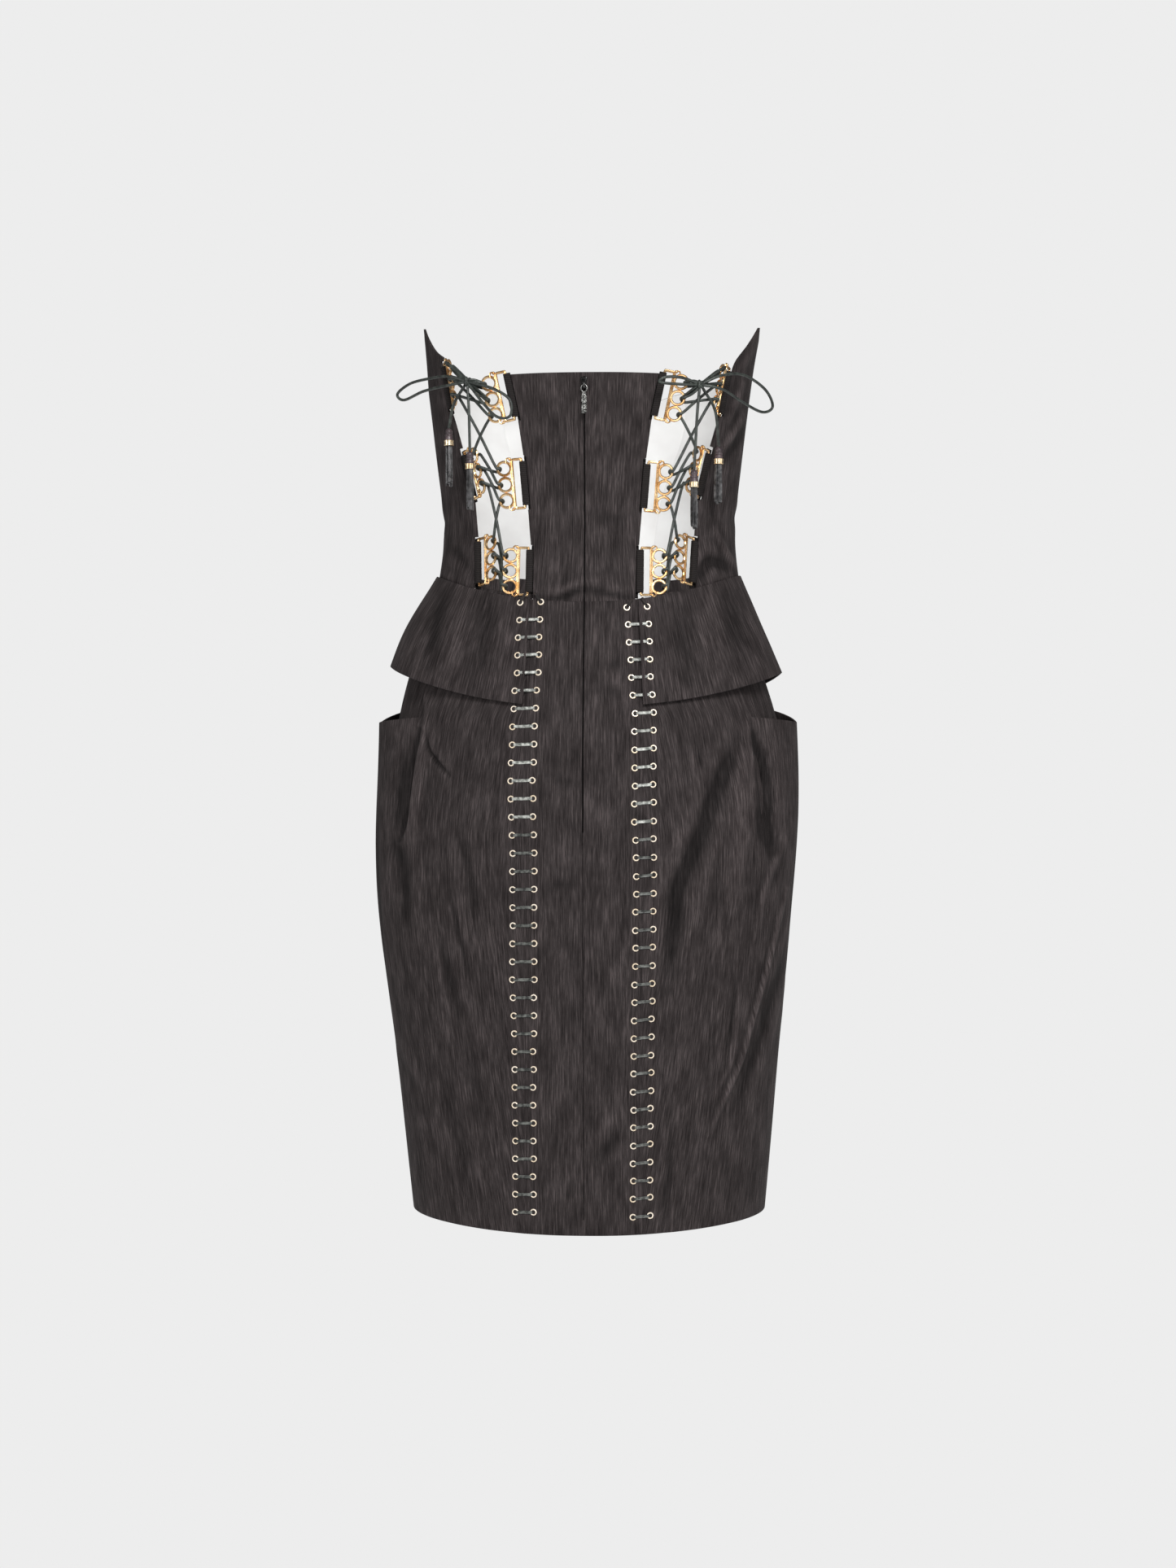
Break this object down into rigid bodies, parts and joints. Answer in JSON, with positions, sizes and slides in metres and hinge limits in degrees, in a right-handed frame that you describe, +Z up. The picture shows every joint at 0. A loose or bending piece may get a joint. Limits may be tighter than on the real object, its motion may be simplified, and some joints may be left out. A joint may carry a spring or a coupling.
{
  "type": "corset dress",
  "caption": "Strapless fitted dress with a laced corset back, a peplum, stand-off hip pockets and a narrow skirt.",
  "frame": {"origin": "the middle of the natural waist, where the wearer holds the dress up", "axes": "+X the wearer's left, +Y the laced back, +Z up"},
  "size_m": [0.3642, 0.2394, 0.7552],
  "materials": {
    "cloth": "ribbed, dark charcoal brown with a soft sheen",
    "loop": "finely ribbed, nearly black",
    "gold": "polished, gold tone",
    "lace": "flat braided lace, dark grey green",
    "tassel": "smooth cap and cut straps, nearly black",
    "zip": "dark nickel"
  },
  "bodies": {
    "dress": {"bodice_front": "cloth", "skirt_front": "cloth", "zip_slider": "zip", "bodice_cup_left": "cloth", "bodice_side_left": "cloth", "bodice_back_left": "cloth", "skirt_back_left": "cloth", "skirt_side_left": "cloth", "pocket_yoke_left": "cloth", "peplum_left": "cloth", "ring_plate_inner_top_left": "gold", "plate_loop_inner_top_left": "loop", "ring_plate_inner_middle_left": "gold", "plate_loop_inner_middle_left": "loop", "ring_plate_inner_bottom_left": "gold", "plate_loop_inner_bottom_left": "loop", "lace_tail_inner_left": "lace", "tassel_inner_left": "tassel", "ferrule_inner_left": "gold", "ring_plate_outer_top_left": "gold", "plate_loop_outer_top_left": "loop", "ring_plate_outer_middle_left": "gold", "plate_loop_outer_middle_left": "loop", "ring_plate_outer_bottom_left": "gold", "plate_loop_outer_bottom_left": "loop", "lace_tail_outer_left": "lace", "tassel_outer_left": "tassel", "ferrule_outer_left": "gold", "lacing_left": "lace", "bow_left": "lace", "bodice_cup_right": "cloth", "bodice_side_right": "cloth", "bodice_back_right": "cloth", "skirt_back_right": "cloth", "skirt_side_right": "cloth", "pocket_yoke_right": "cloth", "peplum_right": "cloth", "ring_plate_inner_top_right": "gold", "plate_loop_inner_top_right": "loop", "ring_plate_inner_middle_right": "gold", "plate_loop_inner_middle_right": "loop", "ring_plate_inner_bottom_right": "gold", "plate_loop_inner_bottom_right": "loop", "lace_tail_inner_right": "lace", "tassel_inner_right": "tassel", "ferrule_inner_right": "gold", "ring_plate_outer_top_right": "gold", "plate_loop_outer_top_right": "loop", "ring_plate_outer_middle_right": "gold", "plate_loop_outer_middle_right": "loop", "ring_plate_outer_bottom_right": "gold", "plate_loop_outer_bottom_right": "loop", "lace_tail_outer_right": "lace", "tassel_outer_right": "tassel", "ferrule_outer_right": "gold", "lacing_right": "lace", "bow_right": "lace"},
    "zip_pull": {"zip_pull": "zip"}
  },
  "joints": [
    {"name": "zip_pull_hinge", "type": "hinge", "parent": "dress", "child": "zip_pull", "pos_m": [0, 0.10134, 0.1124], "axis": [1, 0, 0], "range_deg": [0, 150]}
  ]
}
